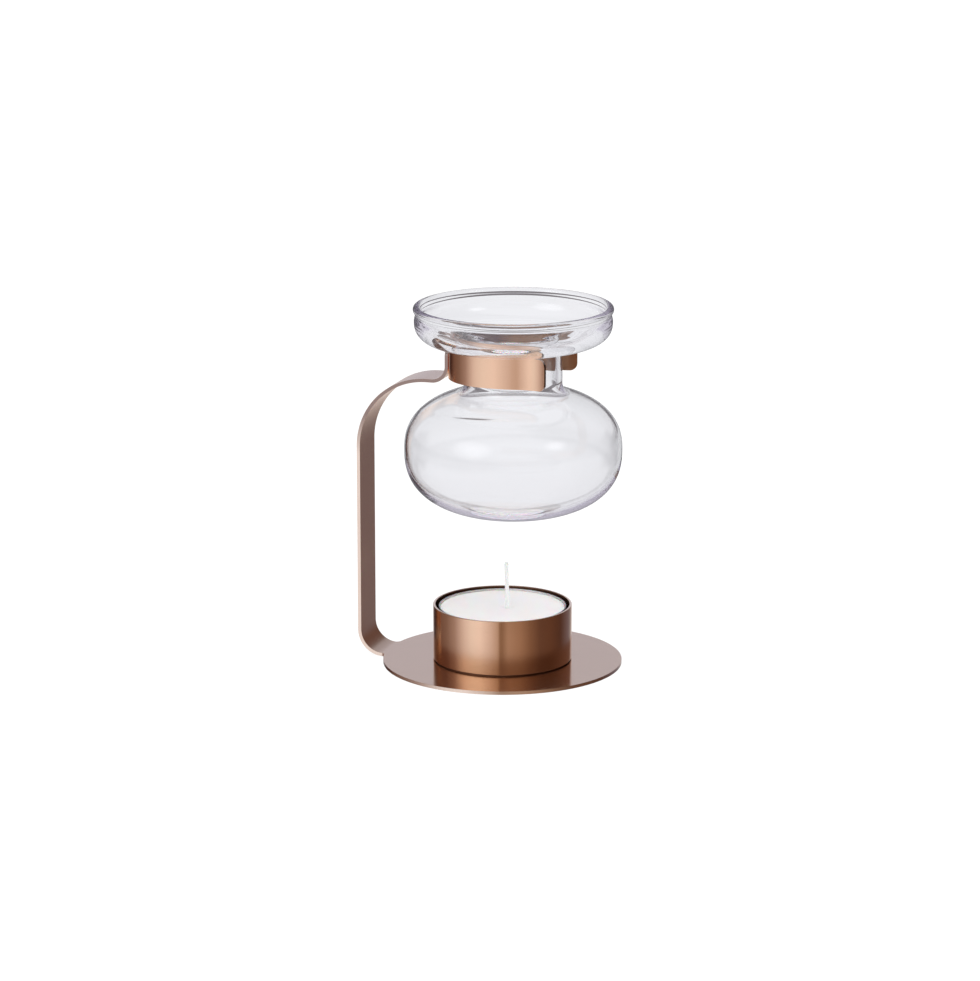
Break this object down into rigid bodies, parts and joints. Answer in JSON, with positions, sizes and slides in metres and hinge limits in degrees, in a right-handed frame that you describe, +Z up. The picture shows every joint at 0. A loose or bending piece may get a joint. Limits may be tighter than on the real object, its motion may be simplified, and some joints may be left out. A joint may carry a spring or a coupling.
{
  "type": "oil warmer",
  "caption": "Tabletop oil warmer: a glass dish and bulb hung in an open collar on a bent sheet-metal arm, above a tealight in a cup on a round base.",
  "frame": {"origin": "centre of the round base's underside, on the surface it stands on", "axes": "+Z up; the arm stands at -X, and the collar opens towards +X; +Y across"},
  "size_m": [0.079, 0.0712, 0.1084],
  "materials": {
    "copper_finish": "satin brushed copper plating",
    "aluminium_foil": "drawn, bright",
    "wax": "white candle wax",
    "tinned_steel": "bright",
    "cotton_wick": "waxed braided cotton",
    "clear_glass": "clear, blown"
  },
  "bodies": {
    "stand": {"base_and_arm": "copper_finish", "neck_collar": "copper_finish", "candle_cup": "copper_finish"},
    "tealight": {"tealight_pan": "aluminium_foil", "tealight_wax": "wax", "wick_sustainer": "tinned_steel", "wick": "cotton_wick"},
    "vessel": {"glass_vessel": "clear_glass"}
  },
  "joints": [
    {"name": "vessel_slide", "type": "slide", "parent": "stand", "child": "vessel", "axis": [1, 0, 0], "range_m": [0, 0.07]},
    {"name": "tealight_lift", "type": "slide", "parent": "stand", "child": "tealight", "axis": [0, 0, 1], "range_m": [0, 0.0135]}
  ]
}
